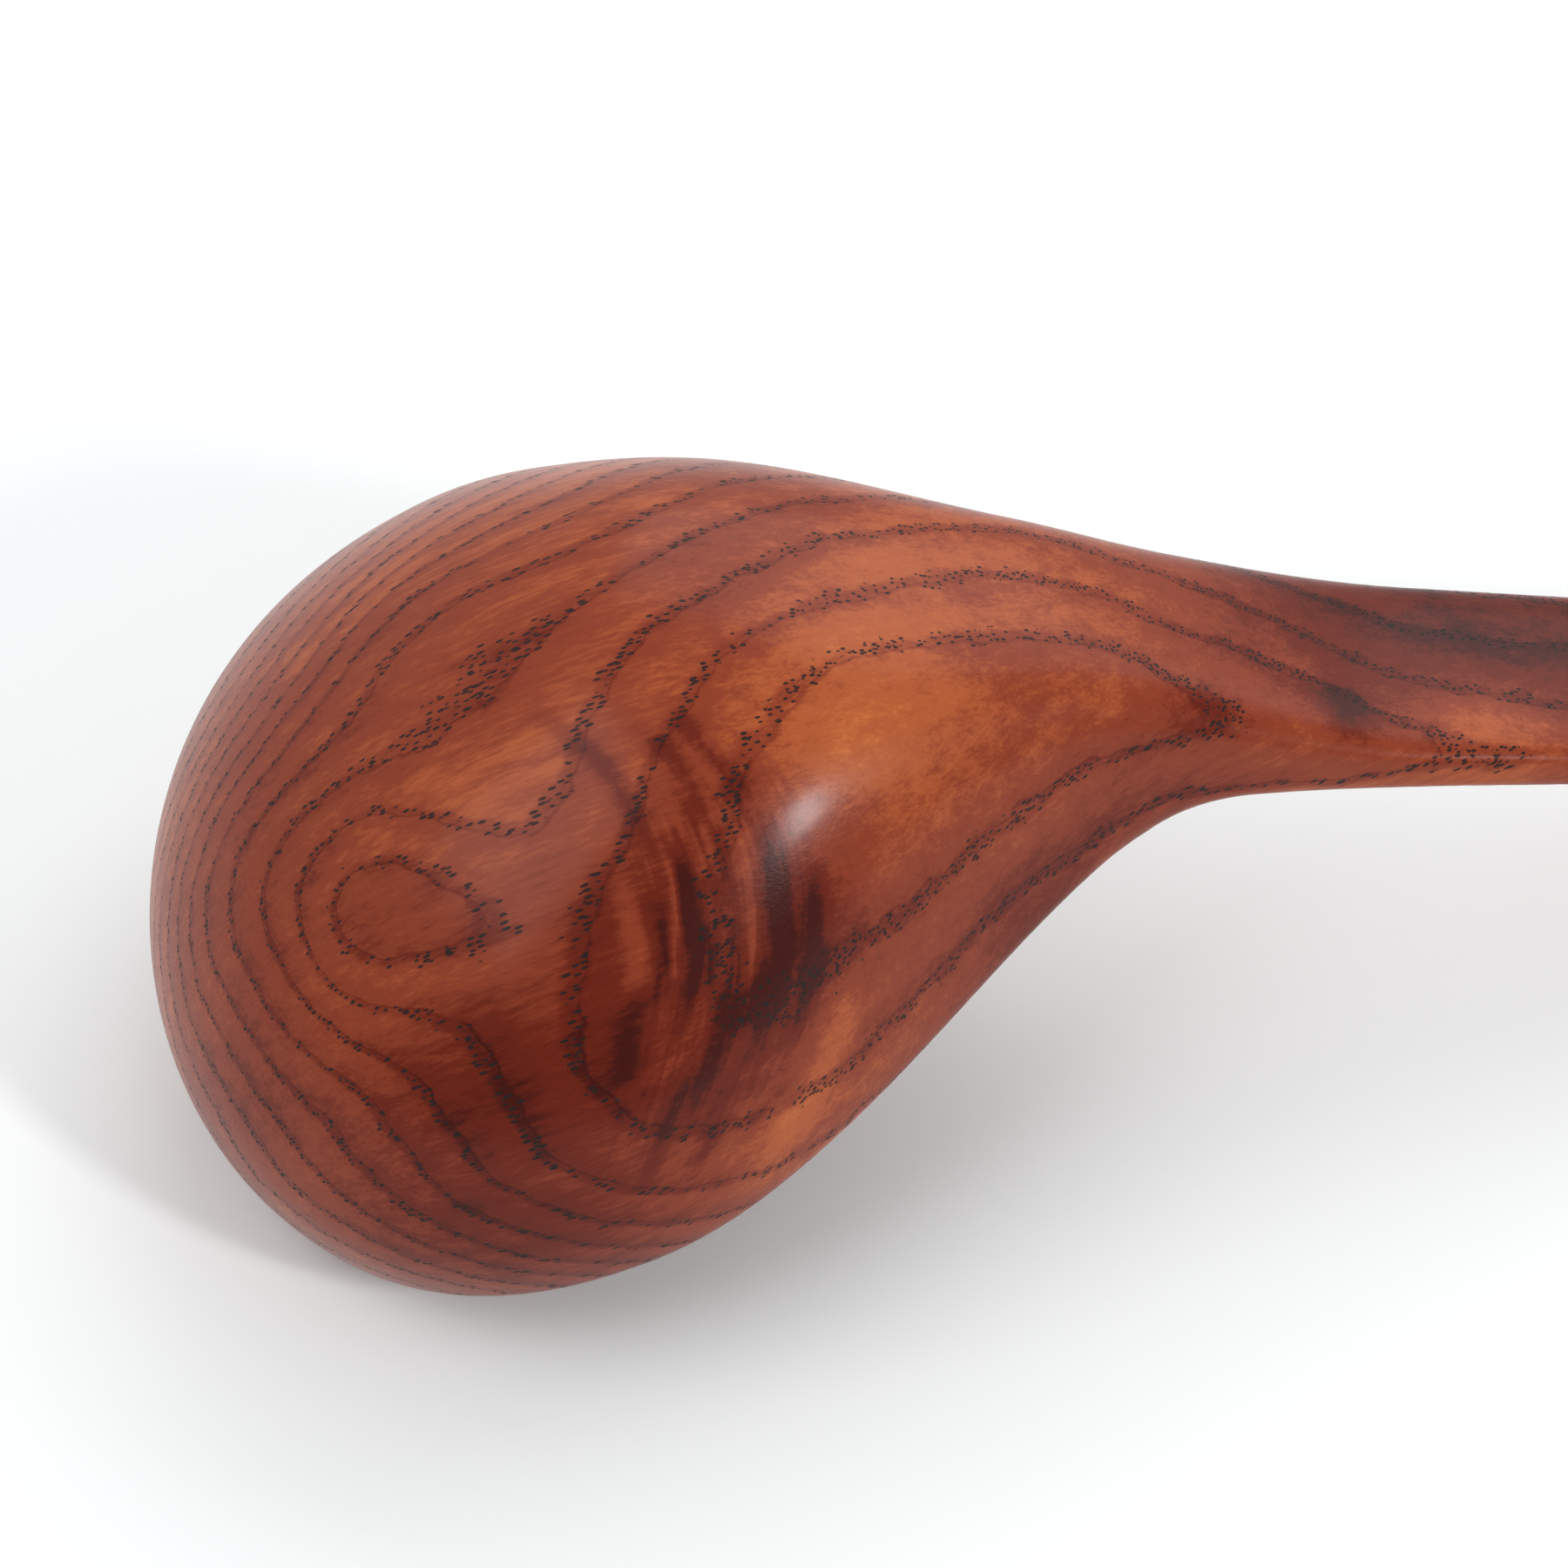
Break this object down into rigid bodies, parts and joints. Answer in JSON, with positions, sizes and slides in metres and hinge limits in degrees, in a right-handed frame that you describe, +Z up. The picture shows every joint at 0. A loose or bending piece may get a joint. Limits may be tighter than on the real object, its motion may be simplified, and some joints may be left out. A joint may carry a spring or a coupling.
{
  "type": "ladle",
  "caption": "Deep wooden ladle carved from one billet: egg-shaped bowl, squared neck and a cranked handle that flares to a round end.",
  "frame": {"origin": "middle of the footprint, on the table the ladle lies on, mouth down", "axes": "+X along the ladle from the front lip to the end of the handle, +Z up, away from the table"},
  "size_m": [0.2424, 0.07, 0.0521],
  "materials": {
    "lacquered_wood": "satin lacquer over open-pored hardwood"
  },
  "bodies": {
    "root": {"bowl": "lacquered_wood", "neck": "lacquered_wood", "handle": "lacquered_wood"}
  },
  "joints": []
}
